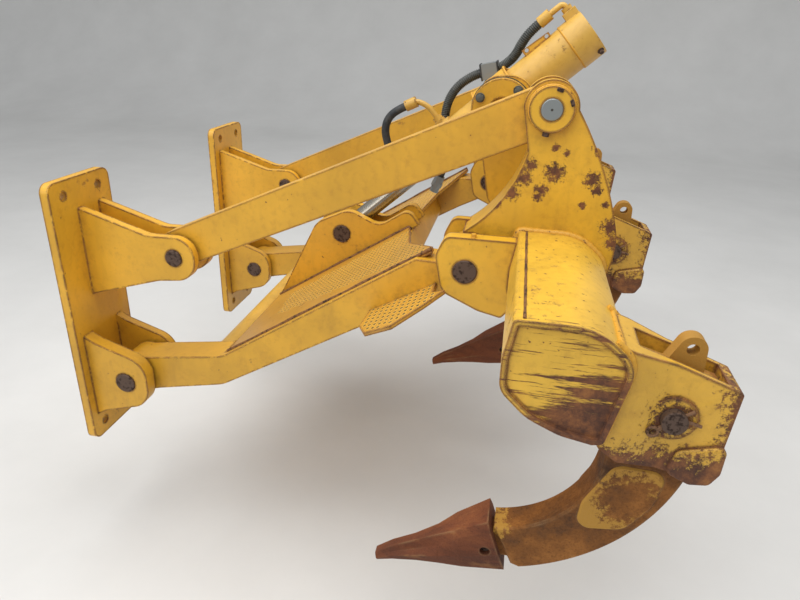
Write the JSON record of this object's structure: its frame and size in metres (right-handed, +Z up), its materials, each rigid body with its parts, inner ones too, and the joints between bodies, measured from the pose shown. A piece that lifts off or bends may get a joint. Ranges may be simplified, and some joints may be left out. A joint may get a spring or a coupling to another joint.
{
  "type": "multi-shank ripper",
  "caption": "Rear ripper attachment for a crawler tractor: parallelogram linkage with a lift cylinder carries a cross beam with pockets, curved shanks and pointed tips; lifts and lowers level",
  "frame": {"origin": "middle of the rectangular bolt pattern on the tractor's mounting face", "axes": "+X rearward away from the tractor, +Y to the tractor's right, +Z up"},
  "size_m": [1.7696, 2.202, 1.3761],
  "materials": {
    "yellow_paint": "worn satin enamel over steel, chipped to rust at edges",
    "rusty_steel": "bare rusted steel, rubbed smooth in places",
    "zinc_pin": "zinc-plated pin ends",
    "chrome_rod": "polished hard chrome",
    "hose_rubber": "moulded rubber hose, dusty",
    "plated_fitting": "zinc-plated pipe, ferrule and clamp, dulled"
  },
  "bodies": {
    "tractor_mount": {"mount_bracket_left": "yellow_paint", "mount_bracket_right": "yellow_paint", "lower_front_pins": "rusty_steel", "upper_front_pins": "rusty_steel"},
    "lower_frame": {"lower_arm_left": "yellow_paint", "lower_arm_right": "yellow_paint", "frame_cross_tube": "yellow_paint", "frame_cross_box": "yellow_paint", "rod_ears": "yellow_paint", "rod_eye_pin": "rusty_steel", "deck_plate_left": "yellow_paint", "deck_plate_right": "yellow_paint", "arm_step": "yellow_paint"},
    "upper_link_left": {"upper_link_left": "yellow_paint"},
    "upper_link_right": {"upper_link_right": "yellow_paint"},
    "beam": {"beam": "yellow_paint", "tower_left": "yellow_paint", "tower_right": "yellow_paint", "trunnion_support_left": "yellow_paint", "trunnion_support_right": "yellow_paint", "trunnion_cap_left": "yellow_paint", "trunnion_cap_right": "yellow_paint", "lower_rear_pins": "rusty_steel", "upper_rear_pins": "zinc_pin", "shank_pocket_left": "yellow_paint", "shank_pocket_centre": "yellow_paint", "shank_pocket_right": "yellow_paint", "shank_left": "rusty_steel", "shank_centre": "rusty_steel", "shank_right": "rusty_steel", "shank_tip_left": "rusty_steel", "shank_tip_centre": "rusty_steel", "shank_tip_right": "rusty_steel", "shank_pins": "rusty_steel", "tip_pins": "rusty_steel"},
    "cylinder_barrel": {"cylinder_barrel": "yellow_paint", "cylinder_trunnion": "yellow_paint", "head_pipe": "plated_fitting", "gland_pipe": "plated_fitting", "hose_guarded": "hose_rubber", "hose_gland": "hose_rubber", "hose_coupling_guarded": "plated_fitting", "hose_coupling_gland": "plated_fitting", "hose_clamp": "plated_fitting", "hose_bracket": "yellow_paint"},
    "cylinder_rod": {"cylinder_rod": "chrome_rod"}
  },
  "joints": [
    {"name": "frame_lift", "type": "hinge", "parent": "tractor_mount", "child": "lower_frame", "pos_m": [0.15, 0, -0.2065], "axis": [0, -1, 0], "range_deg": [-46, 5]},
    {"name": "upper_link_left_swing", "type": "hinge", "parent": "tractor_mount", "child": "upper_link_left", "pos_m": [0.324, 0, 0.2065], "axis": [0, -1, 0], "range_deg": [-46, 5]},
    {"name": "upper_link_right_swing", "type": "hinge", "parent": "tractor_mount", "child": "upper_link_right", "pos_m": [0.324, 0, 0.2065], "axis": [0, -1, 0], "range_deg": [-46, 5]},
    {"name": "beam_level", "type": "hinge", "parent": "lower_frame", "child": "beam", "pos_m": [1.20132, 0, 0.28374], "axis": [0, -1, 0], "range_deg": [-5, 46]},
    {"name": "cylinder_swing", "type": "hinge", "parent": "beam", "child": "cylinder_barrel", "pos_m": [1.24332, 0, 0.64624], "axis": [0, -1, 0], "range_deg": [-30.19, 3.29]},
    {"name": "rod_slide", "type": "slide", "parent": "cylinder_barrel", "child": "cylinder_rod", "axis": [-0.7445, 0, -0.6676], "range_m": [-0.2346, 0.0257]}
  ],
  "couplings": [
    {"joint": "upper_link_left_swing", "follows": "frame_lift", "ratio": 1},
    {"joint": "upper_link_right_swing", "follows": "frame_lift", "ratio": 1},
    {"joint": "beam_level", "follows": "frame_lift", "ratio": -1},
    {"joint": "cylinder_swing", "follows": "frame_lift", "ratio": 0.656},
    {"joint": "rod_slide", "follows": "frame_lift", "m_per_rad": 0.292}
  ]
}
